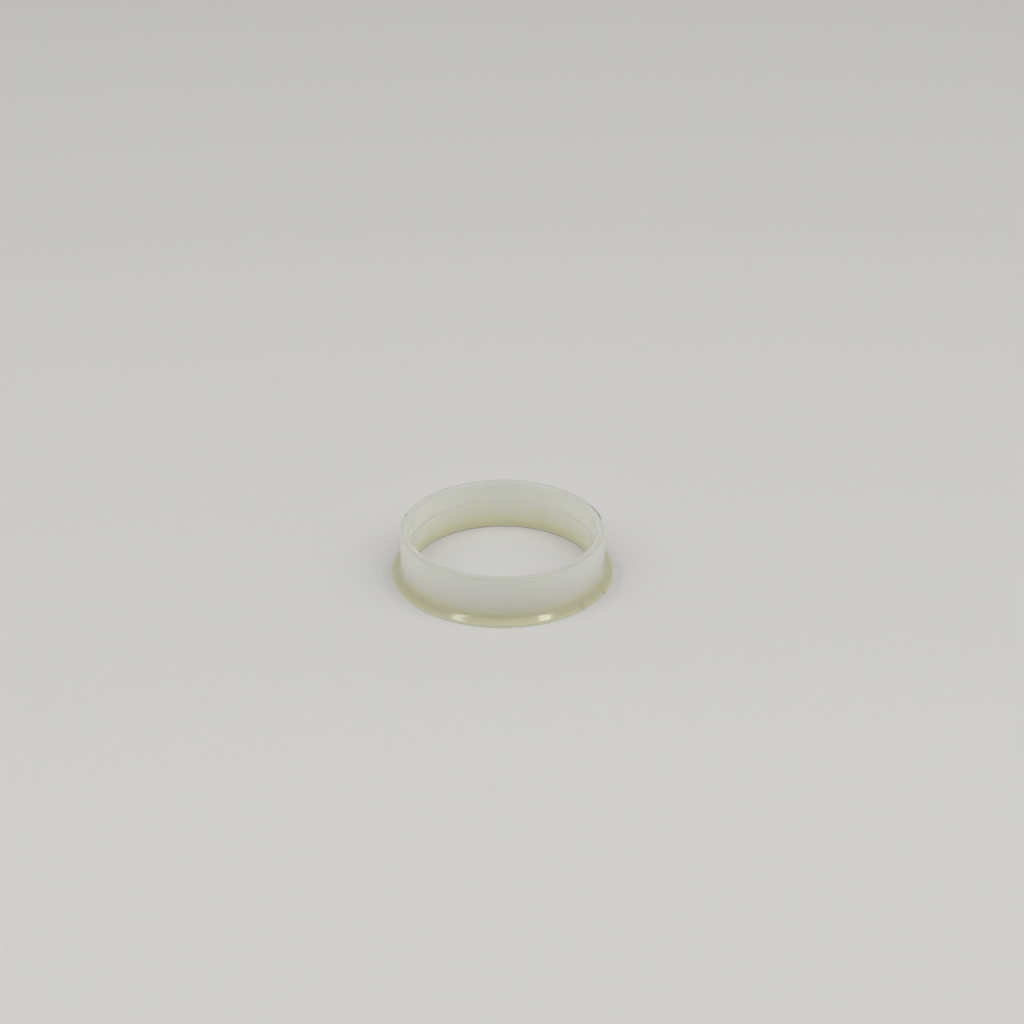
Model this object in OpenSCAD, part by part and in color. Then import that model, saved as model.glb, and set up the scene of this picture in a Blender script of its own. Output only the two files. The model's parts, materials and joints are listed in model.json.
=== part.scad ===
// Support ring: a short moulded plastic ring with a stepped bore, standing on a thin tapered flange.
// It is one revolved section. Z is the ring's axis, and the flat underside lies at z = 0. Sizes are in mm.

/* [Ring] */
// Diameter of the bore at the rim end
bore_d = 35; // [20:0.5:80]
// Thickness of the wall at the rim end
wall = 1.5; // [0.8:0.1:4]
// Height from the underside to the rim
height = 9.3; // [7:0.1:30]

/* [Step in the bore] */
// Depth of the wider bore, from the rim down to the step
seat_depth = 4; // [2:0.1:6]
// Width of the step, where the bore narrows
step_w = 0.5; // [0.2:0.05:2]

/* [Flange] */
// How far the flange stands out from the wall
flange_w = 1.7; // [1:0.1:5]
// Thickness of the flange where it meets the wall
flange_root = 1.35; // [0.7:0.05:2.5]
// Thickness of the flange at its outer edge
flange_edge = 0.45; // [0.3:0.05:1]

/* [Edges] */
// Radius of the two edges of the rim
rim_round = 0.5; // [0.1:0.05:0.65]
// Radius in the corner between the wall and the flange
root_round = 0.75; // [0.1:0.05:0.75]
// Radius of the flange's upper outer edge
edge_round = 0.48; // [0.05:0.01:0.6]
// Radius of the flange's lower outer edge
foot_round = 0.08; // [0.03:0.01:0.2]
// Radius of the lower mouth of the bore
mouth_round = 0.25; // [0.05:0.05:1]
// Radius of the step's edge
ledge_round = 0.22; // [0.03:0.01:0.8]
// Radius in the corner behind the step
step_round = 0.12; // [0.03:0.01:0.18]

/* [Hidden] */
$fn = 96;

// Most of a wall or a ledge that the radius of one of its edges may take up
edge_share = 0.45;
// Most of the flange's outer side that the roundings of its lower and its upper edge may take up
foot_share = 0.25;
brow_share = 0.65;
// How far the cutter of an outer corner runs past the corner, as a share of the corner's radius
overrun = 0.5;
// How much larger a corner's circle is drawn, so that it crosses both sides instead of just touching them
crossing = 0.00005;
ring_colour = [0.78, 0.78, 0.68];

// The section is drawn from the foot of the narrow bore, so these are distances from that bore's wall
seat_x = step_w;
wall_x = seat_x + wall;
flange_x = wall_x + flange_w;
step_z = height - seat_depth;
narrow_bore_r = bore_d / 2 - step_w;
flange_slope = atan((flange_root - flange_edge) / flange_w);

rim_radius = min(rim_round, edge_share * wall);
root_radius = min(root_round, edge_share * flange_w);
edge_radius = min(edge_round, edge_share * flange_w, brow_share * flange_edge * tan(45 + flange_slope / 2));
foot_radius = min(foot_round, foot_share * flange_edge);
mouth_radius = min(mouth_round, edge_share * step_z);
ledge_radius = min(ledge_round, edge_share * step_w);
step_radius = min(step_round, edge_share * step_w);

// Corners of the section, anticlockwise, each with the radius that rounds it
CORNERS = [
    [[0, 0], mouth_radius],
    [[flange_x, 0], foot_radius],
    [[flange_x, flange_edge], edge_radius],
    [[wall_x, flange_root], root_radius],
    [[wall_x, height], rim_radius],
    [[seat_x, height], rim_radius],
    [[seat_x, step_z], step_radius],
    [[0, step_z], ledge_radius],
];
EVERY_CORNER = [0 : len(CORNERS) - 1];

function unit(v) = v / norm(v);
function point(i) = CORNERS[(i + len(CORNERS)) % len(CORNERS)][0];
function radius(i) = CORNERS[i][1];
function to_last(i) = unit(point(i - 1) - point(i));
function to_next(i) = unit(point(i + 1) - point(i));
function inward(i) = unit(to_last(i) + to_next(i));
function is_outer(i) = cross(to_next(i), to_last(i)) > 0;
function half_angle(i) = acos(to_last(i) * to_next(i)) / 2;

// Centre of the circle that rounds a corner, and the points where it touches the corner's two sides
function centre(i) = point(i) + inward(i) * radius(i) / sin(half_angle(i));
function touch_last(i) = point(i) + to_last(i) * radius(i) / tan(half_angle(i));
function touch_next(i) = point(i) + to_next(i) * radius(i) / tan(half_angle(i));
function past_corner(i) = point(i) - inward(i) * overrun * radius(i);

// An outer corner keeps its point, and an inner one is filled up to the centre of its circle
function outline(i) = is_outer(i) ? [point(i)] : [touch_last(i), centre(i), touch_next(i)];

module corner_circle(i) {
    translate(centre(i)) circle(radius(i) + crossing);
}

// What is cut away at a corner: the tip outside an outer corner's circle, or the whole circle of an inner one
module corner_cut(i) {
    if (is_outer(i))
        difference() {
            polygon([centre(i), touch_last(i), past_corner(i), touch_next(i)]);
            corner_circle(i);
        }
    else
        corner_circle(i);
}

module ring_section() {
    difference() {
        polygon([for (i = EVERY_CORNER) each outline(i)]);
        for (i = EVERY_CORNER) corner_cut(i);
    }
}

module support_ring() {
    color(ring_colour) rotate_extrude() translate([narrow_bore_r, 0]) ring_section();
}

support_ring();
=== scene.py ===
# %% [markdown]
# # A moulded support ring
#
# The object is a small ring of natural, unfilled plastic. It stands on a thin flange, its bore has a
# fine step a little above half height, and the plastic is cloudy: it lets light through, pale at the
# rim and olive-yellow at the foot. Everything here is in metres, in the frame of the solid model,
# with the ring's axis on Z and its underside on the floor at Z = 0.

import json
import math

import bmesh
import bpy
from mathutils import Matrix, Vector


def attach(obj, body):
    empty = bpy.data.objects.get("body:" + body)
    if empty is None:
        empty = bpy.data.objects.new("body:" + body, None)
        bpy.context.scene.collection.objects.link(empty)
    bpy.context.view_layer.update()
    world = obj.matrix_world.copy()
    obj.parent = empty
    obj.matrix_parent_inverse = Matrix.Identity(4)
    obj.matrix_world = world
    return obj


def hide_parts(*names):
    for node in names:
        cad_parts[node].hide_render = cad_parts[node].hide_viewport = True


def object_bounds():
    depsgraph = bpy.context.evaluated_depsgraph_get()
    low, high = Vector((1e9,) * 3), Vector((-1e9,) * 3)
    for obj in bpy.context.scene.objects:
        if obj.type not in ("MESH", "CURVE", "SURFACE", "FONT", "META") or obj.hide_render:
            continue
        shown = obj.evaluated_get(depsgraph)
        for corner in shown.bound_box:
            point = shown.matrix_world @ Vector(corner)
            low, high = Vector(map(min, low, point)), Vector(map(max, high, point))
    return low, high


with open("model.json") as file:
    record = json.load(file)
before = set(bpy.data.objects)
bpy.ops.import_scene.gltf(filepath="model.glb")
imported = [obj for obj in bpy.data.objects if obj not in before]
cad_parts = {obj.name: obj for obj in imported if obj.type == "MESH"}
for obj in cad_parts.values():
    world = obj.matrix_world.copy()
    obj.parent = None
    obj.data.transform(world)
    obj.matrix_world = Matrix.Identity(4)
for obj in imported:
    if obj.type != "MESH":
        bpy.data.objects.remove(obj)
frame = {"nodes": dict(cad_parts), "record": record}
cad_box = [list(corner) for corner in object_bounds()]
scene = bpy.context.scene
MM = 0.001
print("nodes:", sorted(frame["nodes"]))
print("box of the solid in mm:", [[round(c / MM, 2) for c in corner] for corner in cad_box])

# %% [markdown]
# ## The sizes of the section
#
# A moulded ring is one section swept round an axis. The radii and the height are read off the
# frame, so that the looks follow the solid when it changes: the record's mounts give the three
# round walls, and the box gives the flange and the rim. The small sizes that no mount or box holds
# are written here once, with the values of the solid.

# %% Sizes of the section
round_mounts = [mount for mount in frame["record"]["mounts"] if "r_mm" in mount["dims"]]
mount_radius = {mount["name"]: mount["dims"]["r_mm"] * MM for mount in round_mounts}
narrow_bore_r = mount_radius["narrow_bore"]
seat_bore_r = mount_radius["seat_bore"]
wall_r = mount_radius["outer_wall"]
flange_r = cad_box[1][0]
rim_z = cad_box[1][2]
SEAT_DEPTH = 4.0 * MM
FLANGE_ROOT = 1.35 * MM
FLANGE_EDGE = 0.45 * MM
RIM_ROUND = 0.5 * MM
ROOT_ROUND = 0.75 * MM
EDGE_ROUND = 0.48 * MM
FOOT_ROUND = 0.08 * MM
MOUTH_ROUND = 0.25 * MM
LEDGE_ROUND = 0.22 * MM
STEP_ROUND = 0.12 * MM
step_z = rim_z - SEAT_DEPTH
print("wall in mm:", round((wall_r - seat_bore_r) / MM, 2))
print("step in mm:", round((seat_bore_r - narrow_bore_r) / MM, 2))

# %% [markdown]
# ## The section as a wire
#
# The section starts as eight corners joined by a loop of edges in the XZ plane. The arcs could be
# written out point by point, but a vertex bevel makes each from one number, the radius. The rim, the
# flange and the bore's mouth have radii of their own, so the corners are rounded while the section
# is still flat, one at a time. The bevel slides along both edges by the tangent length, which is the
# radius divided by the tangent of half the corner's angle.

# %% Draw the section and round its corners
SECTION = [
    ((narrow_bore_r, 0.0), MOUTH_ROUND),
    ((flange_r, 0.0), FOOT_ROUND),
    ((flange_r, FLANGE_EDGE), EDGE_ROUND),
    ((wall_r, FLANGE_ROOT), ROOT_ROUND),
    ((wall_r, rim_z), RIM_ROUND),
    ((seat_bore_r, rim_z), RIM_ROUND),
    ((seat_bore_r, step_z), STEP_ROUND),
    ((narrow_bore_r, step_z), LEDGE_ROUND),
]
ARC_SEGMENTS = 8


def tangent_length(corner, rounding):
    """How far from a corner its rounding starts, measured along the corner's two edges."""
    a, b = [edge.other_vert(corner).co - corner.co for edge in corner.link_edges]
    return rounding / math.tan(a.angle(b) / 2)


bm = bmesh.new()
corners = [bm.verts.new((x, 0.0, z)) for (x, z), rounding in SECTION]
for i, corner in enumerate(corners):
    bm.edges.new((corners[i - 1], corner))
reaches = [tangent_length(corner, rounding) for corner, (point, rounding) in zip(corners, SECTION)]
for corner, reach in zip(corners, reaches):
    bmesh.ops.bevel(bm, geom=[corner], offset=reach, offset_type="OFFSET", affect="VERTICES",
                    segments=ARC_SEGMENTS, profile=0.5, material=-1, clamp_overlap=False)
print("section:", len(bm.verts), "points after rounding")

# %% [markdown]
# ## Sweep the section into the ring
#
# Long edges are cut into short ones first. A smooth-shaded mesh blends the normals of the faces that
# meet at a point, so a long face beside a small rounding would look bent; with short edges next to
# the rounding the flat walls stay flat. The section is then spun a full turn and its ends merged. A
# Screw modifier would give the same form, but the spin leaves a plain mesh to look at and to export.

# %% Spin the ring
LONGEST_EDGE = 0.35 * MM
SPIN_STEPS = 360
MERGE_WITHIN = 0.002 * MM
for edge in [e for e in bm.edges if e.calc_length() > LONGEST_EDGE]:
    bmesh.ops.subdivide_edges(bm, edges=[edge], cuts=int(edge.calc_length() / LONGEST_EDGE))
bmesh.ops.spin(bm, geom=bm.verts[:] + bm.edges[:], axis=(0, 0, 1), cent=(0, 0, 0), dvec=(0, 0, 0),
               angle=2 * math.pi, steps=SPIN_STEPS, use_merge=True)
bmesh.ops.remove_doubles(bm, verts=bm.verts, dist=MERGE_WITHIN)
bmesh.ops.recalc_face_normals(bm, faces=bm.faces)
for face in bm.faces:
    face.smooth = True
ring_mesh = bpy.data.meshes.new("moulded_ring")
bm.to_mesh(ring_mesh)
bm.free()
ring = bpy.data.objects.new("moulded_ring", ring_mesh)
scene.collection.objects.link(ring)
print("ring:", len(ring_mesh.polygons), "faces, box in mm", [round(d / MM, 2) for d in ring.dimensions])

# %% [markdown]
# ## A small kit for the nodes
#
# The plastic needs a few dozen nodes. Four helpers keep its cells short: one joins two sockets, one
# makes a node and sets its inputs by name, one does plain arithmetic, and one fades a value smoothly.

# %% Node helpers
plastic = bpy.data.materials.new("natural_plastic")
plastic.use_nodes = True
tree = plastic.node_tree
shader = tree.nodes["Principled BSDF"]


def join(source, target):
    tree.links.new(source, target)


def node(kind, inputs=None, **settings):
    """Make a node. An input that is a socket is linked, any other value is set."""
    made = tree.nodes.new(kind)
    for name, value in settings.items():
        setattr(made, name, value)
    for name, value in (inputs or {}).items():
        if isinstance(value, bpy.types.NodeSocket):
            join(value, made.inputs[name])
        else:
            made.inputs[name].default_value = value
    return made


def calc(operation, a, b=0.0):
    return node("ShaderNodeMath", {0: a, 1: b}, operation=operation).outputs[0]


def fade(value, start, end, first=0.0, last=1.0):
    """A smooth change from first to last while the value goes from start to end."""
    return node("ShaderNodeMapRange", {"Value": value, "From Min": start, "From Max": end,
                                       "To Min": first, "To Max": last},
                interpolation_type="SMOOTHSTEP").outputs["Result"]


print("nodes of a new material:", [n.name for n in tree.nodes])

# %% [markdown]
# ## The colour of natural nylon, with painted shade and light
#
# Unfilled nylon is cloudy white in a thin wall and turns olive-yellow where it is thick or where the
# light has come a long way through it. On this ring that change runs up the wall: the root of the
# flange and the foot are olive, and from half height on the wall is a pale grey-green. That olive is
# partly the plastic's tint and partly painted shade, darker near the floor and in the crease at the
# flange's root. The thin edge of the flange is painted near white: a painted light where the pale
# floor shows through and where the contact with the floor would shade it. The rim is painted a little
# darker, painted shade for the light that falls on its top. At the step the bore has painted shade
# just below and painted light just above, which even out the step's corner. A volume that swallows
# blue light could make the tint, but it is slow to render and can't be baked, so the colour is given
# by the height instead. There is one row of colours for the outside and one for the bore, where the
# wall below the step is thicker.

# %% Colours from the underside to the rim
OUTSIDE = [
    # the first two stops paint the flange's thin edge near white: painted light
    (0.0, (0.98, 0.97, 0.88)),
    (0.15 * MM, (0.92, 0.91, 0.76)),
    # from 0.4 to 1.5 mm the olive root of the flange is partly tint and partly painted shade
    (0.4 * MM, (0.72, 0.70, 0.47)),
    (0.85 * MM, (0.65, 0.635, 0.40)),
    (1.15 * MM, (0.64, 0.63, 0.425)),
    (1.5 * MM, (0.715, 0.71, 0.52)),
    (2.0 * MM, (0.71, 0.71, 0.58)),
    (3.0 * MM, (0.70, 0.70, 0.65)),
    (5.0 * MM, (0.72, 0.725, 0.70)),
    (7.0 * MM, (0.73, 0.74, 0.71)),
    (8.6 * MM, (0.715, 0.73, 0.69)),
    # the rim's stop is darker: painted shade for the light on the rim's top
    (rim_z, (0.67, 0.68, 0.625)),
]
BORE = [
    # the olive foot of the bore is partly tint and partly painted shade
    (0.0, (0.80, 0.78, 0.60)),
    (0.3 * MM, (0.81, 0.79, 0.565)),
    (1.0 * MM, (0.785, 0.765, 0.53)),
    (2.0 * MM, (0.77, 0.76, 0.635)),
    (3.0 * MM, (0.745, 0.755, 0.675)),
    # painted shade just below the step and painted light just above it, at its corner
    (step_z - 0.1 * MM, (0.76, 0.765, 0.71)),
    (step_z + 0.05 * MM, (0.835, 0.845, 0.795)),
    (step_z + 0.5 * MM, (0.79, 0.80, 0.755)),
    (7.0 * MM, (0.795, 0.81, 0.765)),
    # the rim's stop is darker here too: painted shade
    (rim_z, (0.75, 0.76, 0.72)),
]
print("colours:", len(OUTSIDE), "outside and", len(BORE), "in the bore")

# %% [markdown]
# ## Ramps over the height
#
# Each row of colours becomes a colour ramp that reads the height as a share of the rim's. Through the
# wall, from the bore to the outside, the one ramp fades into the other. A faint noise makes the
# plastic a little uneven, because no moulding has one flat colour.

# %% Colour of the body, with painted shade and light
CLOUDS_PER_METRE = 160.0
CLOUD_DETAIL = 2.0
CLOUD_COLOUR = (0.66, 0.66, 0.56, 1.0)
MOST_CLOUD = 0.12
position = node("ShaderNodeTexCoord").outputs["Object"]
axes = node("ShaderNodeSeparateXYZ", {"Vector": position}).outputs
radius = calc("SQRT", calc("ADD", calc("MULTIPLY", axes["X"], axes["X"]),
                           calc("MULTIPLY", axes["Y"], axes["Y"])))
height = calc("DIVIDE", axes["Z"], rim_z)


def over_height(stops):
    """A colour that changes with the height, given by its stops from the underside to the rim."""
    ramp = node("ShaderNodeValToRGB", {"Fac": height})
    band = ramp.color_ramp.elements
    for z, colour in stops[1:-1]:
        band.new(z / rim_z).color = (*colour, 1.0)
    band[0].color = (*stops[0][1], 1.0)
    band[-1].color = (*stops[-1][1], 1.0)
    return ramp.outputs["Color"]


outwards = fade(radius, seat_bore_r, wall_r)
# the plastic's tint with its painted shade and painted light, faded from the bore to the outside
tint_and_painted_shade = node("ShaderNodeMixRGB", {"Fac": outwards, "Color1": over_height(BORE),
                                        "Color2": over_height(OUTSIDE)})
clouds = node("ShaderNodeTexNoise", {"Vector": position, "Scale": CLOUDS_PER_METRE,
                                     "Detail": CLOUD_DETAIL}).outputs["Fac"]
cloudy = node("ShaderNodeMixRGB", {"Fac": fade(clouds, 0.35, 0.7, 0.0, MOST_CLOUD),
                                   "Color1": tint_and_painted_shade.outputs["Color"],
                                   "Color2": CLOUD_COLOUR})
print("nodes for the colour:", len(tree.nodes))

# %% [markdown]
# ## Rim and step
#
# Light that falls on the rim or on the step runs down into the wall instead of coming straight back,
# so the parts that face up are no brighter than the walls. The colour is taken down there, by how
# much the surface faces up, and a little more at the rim than at the step. The flat top of the rim
# gets a little of it back. The flange and the foot are left as they are.

# %% Shade of the rim and the step
STEP_SHADE = 0.875
RIM_SHADE = 0.85
FLAT_TOP_LIFT = 1.03
above_flange = fade(axes["Z"], 1.0 * MM, 3.5 * MM)
normal = node("ShaderNodeNewGeometry").outputs["Normal"]
facing_up = node("ShaderNodeSeparateXYZ", {"Vector": normal}).outputs["Z"]
let_in = calc("MULTIPLY", calc("MAXIMUM", facing_up, 0.0), above_flange)
darkest = fade(axes["Z"], step_z, rim_z, STEP_SHADE, RIM_SHADE)
shade = fade(let_in, 0.0, 0.5, 1.0, darkest)
shade = calc("MULTIPLY", shade, fade(let_in, 0.85, 1.0, 1.0, FLAT_TOP_LIFT))
shaded = node("ShaderNodeVectorMath", {0: cloudy.outputs["Color"], "Scale": shade}, operation="SCALE")
print("share of the colour that is left: step", STEP_SHADE, "rim", RIM_SHADE)

# %% [markdown]
# ## Specks of dirt
#
# The ring has been handled: one speck sticks to the rim and one to the edge of the flange, with a
# faint smudge near it. They could be painted on a picture, but a mask by distance needs none and
# stays sharp: a speck is the set of points near one point. A noise makes its border ragged. Azimuths
# are counted from the back (+Y) towards +X.

# %% Specks
GRAINS_PER_METRE = 2500.0
GRAIN_DETAIL = 2.0
RAGGEDNESS = 0.5 * MM
grain = node("ShaderNodeTexNoise", {"Vector": position, "Scale": GRAINS_PER_METRE,
                                    "Detail": GRAIN_DETAIL}).outputs["Fac"]
ragged = calc("MULTIPLY", calc("SUBTRACT", grain, 0.5), RAGGEDNESS)


def speck(turn, r, z, size, core, strength):
    """A spot of dirt at an azimuth, radius and height; core is the share of its size at full strength."""
    a = math.radians(turn)
    centre = (r * math.sin(a), r * math.cos(a), z)
    off_centre = node("ShaderNodeVectorMath", {0: position, 1: centre}, operation="DISTANCE")
    uneven = calc("ADD", off_centre.outputs["Value"], ragged)
    return fade(uneven, core * size, size, strength, 0.0)


SPECKS = [
    speck(-74.5, wall_r - 0.3 * MM, rim_z - 0.05 * MM, 0.4 * MM, 0.5, 0.7),
    speck(114.4, flange_r, 0.3 * MM, 0.45 * MM, 0.5, 0.48),
    speck(134.0, flange_r - 0.5 * MM, 0.6 * MM, 1.3 * MM, 0.0, 0.16),
]
print("spots of dirt:", len(SPECKS))

# %% [markdown]
# ## A line of grime
#
# A thin dark line sits on the top of the rim near its outer edge, on a short arc. It is made as the
# specks are, as the set of points near a circle, cut to the arc by the azimuth. Its border is calmer
# than theirs. Line and specks together are the dirt, and where they are the plastic turns dark.

# %% Line of grime
DIRT_COLOUR = (0.07, 0.06, 0.04, 1.0)
LINE_START = math.radians(59.0)
LINE_END = math.radians(82.0)
START_FADE = 0.12
END_FADE = 0.1
LINE_R = wall_r - 0.35 * MM
LINE_Z = rim_z - 0.03 * MM
LINE_CORE = 0.05 * MM
LINE_REACH = 0.25 * MM
LINE_STRENGTH = 0.58
LINE_RAGGED_SHARE = 0.4
azimuth = calc("ARCTAN2", axes["X"], axes["Y"])
off_r = calc("SUBTRACT", radius, LINE_R)
off_z = calc("SUBTRACT", axes["Z"], LINE_Z)
off_line = calc("SQRT", calc("ADD", calc("MULTIPLY", off_r, off_r), calc("MULTIPLY", off_z, off_z)))
uneven_line = calc("ADD", off_line, calc("MULTIPLY", ragged, LINE_RAGGED_SHARE))
line = fade(uneven_line, LINE_CORE, LINE_REACH, LINE_STRENGTH, 0.0)
line = calc("MULTIPLY", line, fade(azimuth, LINE_START, LINE_START + START_FADE))
line = calc("MULTIPLY", line, fade(azimuth, LINE_END - END_FADE, LINE_END, 1.0, 0.0))
dirt = line
for spot in SPECKS:
    dirt = calc("MAXIMUM", dirt, spot)
dirty = node("ShaderNodeMixRGB", {"Fac": dirt, "Color1": shaded.outputs["Vector"],
                                  "Color2": DIRT_COLOUR})
join(dirty.outputs["Color"], shader.inputs["Base Color"])
print("line of grime in mm:", round(LINE_R * (LINE_END - LINE_START) / MM, 1))

# %% [markdown]
# ## Cloudy body, glossy skin
#
# Light goes a few millimetres into the plastic and scatters, mostly forwards, so the thin wall glows.
# Subsurface scattering shows this. The foot lies on the floor, where no light could enter from
# below, so there the scattering gives way to a plain diffuse colour. The skin came off a polished
# mould: it is glossy, with a slight unevenness that breaks the edges of the reflections. Dirt is dull
# and lets no light in.

# %% Scattering and gloss
SCATTER_LENGTH = 4.0 * MM
SCATTER_BY_COLOUR = (1.0, 0.95, 0.75)
SCATTER_FORWARDS = 0.8
SCATTER_AT_FOOT = 0.1
NYLON_IOR = 1.53
SMOOTHEST = 0.09
ROUGHEST = 0.13
DIRT_ROUGHNESS = 0.6
RIPPLES_PER_METRE = 400.0
RIPPLE_DETAIL = 3.0
RIPPLE_DEPTH = 0.02 * MM
RIPPLE_STRENGTH = 0.1
cloudiness = fade(axes["Z"], 0.6 * MM, 2.0 * MM, SCATTER_AT_FOOT, 1.0)
join(calc("MULTIPLY", cloudiness, calc("SUBTRACT", 1.0, dirt)), shader.inputs["Subsurface Weight"])
shader.inputs["Subsurface Radius"].default_value = SCATTER_BY_COLOUR
shader.inputs["Subsurface Scale"].default_value = SCATTER_LENGTH
shader.inputs["Subsurface Anisotropy"].default_value = SCATTER_FORWARDS
shader.inputs["IOR"].default_value = NYLON_IOR
skin = node("ShaderNodeTexNoise", {"Vector": position, "Scale": RIPPLES_PER_METRE,
                                   "Detail": RIPPLE_DETAIL}).outputs["Fac"]
gloss = fade(skin, 0.3, 0.7, SMOOTHEST, ROUGHEST)
join(calc("MAXIMUM", gloss, calc("MULTIPLY", dirt, DIRT_ROUGHNESS)), shader.inputs["Roughness"])
bump = node("ShaderNodeBump", {"Height": skin, "Strength": RIPPLE_STRENGTH, "Distance": RIPPLE_DEPTH})
join(bump.outputs["Normal"], shader.inputs["Normal"])
print("material nodes:", len(tree.nodes))

# %% [markdown]
# ## Give the ring its place
#
# The finished ring gets its material, rides on the part's only body and stands in for the plain solid.

# %% Hand over the ring
ring_mesh.materials.append(plastic)
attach(ring, "root")
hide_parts("support_ring")
print("dressed:", ring.name, "with", plastic.name)

# %% [markdown]
# ## The floor
#
# A plain pale floor, large enough to fill the picture. It is dull, so that only the ring shines.

# %% Floor
FLOOR_SIZE = 3.0
FLOOR_COLOUR = (0.81, 0.805, 0.785, 1.0)
FLOOR_ROUGHNESS = 0.8
floor_mesh = bpy.data.meshes.new("floor")
bm = bmesh.new()
bmesh.ops.create_grid(bm, x_segments=1, y_segments=1, size=FLOOR_SIZE)
bm.to_mesh(floor_mesh)
bm.free()
floor = bpy.data.objects.new("floor", floor_mesh)
scene.collection.objects.link(floor)
pale = bpy.data.materials.new("pale_floor")
pale.use_nodes = True
floor_shader = pale.node_tree.nodes["Principled BSDF"]
floor_shader.inputs["Base Color"].default_value = FLOOR_COLOUR
floor_shader.inputs["Roughness"].default_value = FLOOR_ROUGHNESS
floor_mesh.materials.append(pale)
print("floor in m:", [round(d, 2) for d in floor.dimensions])

# %% [markdown]
# ## The dome
#
# A glossy ring shows its surroundings, so an evenly bright dome would leave it flat. This one is
# brighter at the left, at the right and behind. The sides light the walls, and the bright back keeps
# the rim's far edge from turning dark. A picture of a studio could do the same, but a sum over the
# direction needs no file: the squares of X and of the back half of Y, each with a level of its own.

# %% Dome
DOME_LEVEL = 0.13
SIDE_LEVEL = 0.55
BACK_LEVEL = 0.38
world = bpy.data.worlds.new("studio")
scene.world = world
world.use_nodes = True
sky = world.node_tree


def sky_calc(operation, *values):
    """A sum in the dome's nodes. A value that is a socket is linked, a number is set."""
    made = sky.nodes.new("ShaderNodeMath")
    made.operation = operation
    for socket, value in zip(made.inputs, values):
        if isinstance(value, bpy.types.NodeSocket):
            sky.links.new(value, socket)
        else:
            socket.default_value = value
    return made.outputs["Value"]


direction = sky.nodes.new("ShaderNodeSeparateXYZ")
sky.links.new(sky.nodes.new("ShaderNodeTexCoord").outputs["Generated"], direction.inputs["Vector"])
sideways = sky_calc("MULTIPLY", direction.outputs["X"], direction.outputs["X"])
behind = sky_calc("MAXIMUM", direction.outputs["Y"], 0.0)
level = sky_calc("MULTIPLY_ADD", sideways, SIDE_LEVEL, DOME_LEVEL)
level = sky_calc("MULTIPLY_ADD", sky_calc("MULTIPLY", behind, behind), BACK_LEVEL, level)
sky.links.new(level, sky.nodes["Background"].inputs["Strength"])
sky.nodes["Background"].inputs["Color"].default_value = (1.0, 1.0, 1.0, 1.0)
print("dome: front", DOME_LEVEL, "sides", DOME_LEVEL + SIDE_LEVEL, "back", DOME_LEVEL + BACK_LEVEL)

# %% [markdown]
# ## Lamps
#
# Two short lamps hang above, left and right, and draw the bright patches on the flange and the rim:
# the flange slopes so that it mirrors what is almost overhead. Two wide soft boxes over the front
# light the outer wall and the inside of the ring, and soften the shadows at its sides. A lamp is
# given by its radiance, which is how bright its face looks, so that its size can change without
# changing the brightness of its mirror image.

# %% Lamps
LAMPS = [
    ("lamp_right", (0.318, 0.15, 0.931), 0.08, 0.24, 6.7),
    ("lamp_left", (-0.335, 0.1, 0.931), 0.075, 0.42, 5.7),
    ("box_right", (0.45, -0.38, 0.88), 1.0, 1.0, 1.05),
    ("box_left", (-0.45, -0.38, 0.88), 1.0, 1.0, 0.82),
]


def lamp(name, location, width, length, radiance):
    """A flat lamp with its length parallel to Y, turned so that it faces the Y axis."""
    light = bpy.data.lights.new(name, "AREA")
    light.shape = "RECTANGLE"
    light.size = width
    light.size_y = length
    light.energy = radiance * math.pi * width * length
    made = bpy.data.objects.new(name, light)
    made.location = location
    lengthwise = Vector((0.0, 1.0, 0.0))
    away = Vector((location[0], 0.0, location[2])).normalized()
    made.rotation_euler = Matrix((lengthwise.cross(away), lengthwise, away)).transposed().to_euler()
    scene.collection.objects.link(made)


for lamp_values in LAMPS:
    lamp(*lamp_values)
print("lamps:", [lamp_values[0] for lamp_values in LAMPS])

# %% [markdown]
# ## The camera
#
# The photograph looks down on the ring at thirty degrees through a long lens. The camera sits in the
# plane X = 0 at that angle. The two centre values say which pixel of the square picture the origin
# falls on, and the camera is turned by the small angles that put it there. That is worked out and
# not set by eye, so that the outline of the ring falls on the photograph's.

# %% Camera
IMAGE_PX = 1024
FOCAL_PX = 3600.0
CENTRE_PX = (502.03, 570.65)
VIEW_ANGLE = math.radians(30.1)
VIEW_DISTANCE = 672.0 * MM
SENSOR_MM = 36.0
across = CENTRE_PX[0] - (IMAGE_PX - 1) / 2
down = CENTRE_PX[1] - (IMAGE_PX - 1) / 2
yaw = math.asin(-across / math.hypot(FOCAL_PX, across, down) / math.cos(VIEW_ANGLE))
to_ring = math.atan2(math.sin(VIEW_ANGLE), math.cos(VIEW_ANGLE) * math.cos(yaw))
pitch = to_ring - math.atan2(down, FOCAL_PX)
camera_data = bpy.data.cameras.new("photo_view")
camera_data.sensor_width = SENSOR_MM
camera_data.lens = FOCAL_PX * SENSOR_MM / IMAGE_PX
camera = bpy.data.objects.new("photo_view", camera_data)
camera.location = VIEW_DISTANCE * Vector((0.0, -math.cos(VIEW_ANGLE), math.sin(VIEW_ANGLE)))
camera.rotation_euler = (math.pi / 2 - pitch, 0.0, -yaw)
scene.collection.objects.link(camera)
scene.camera = camera
scene.view_settings.view_transform = "Standard"
print("lens in mm:", round(camera_data.lens, 1))
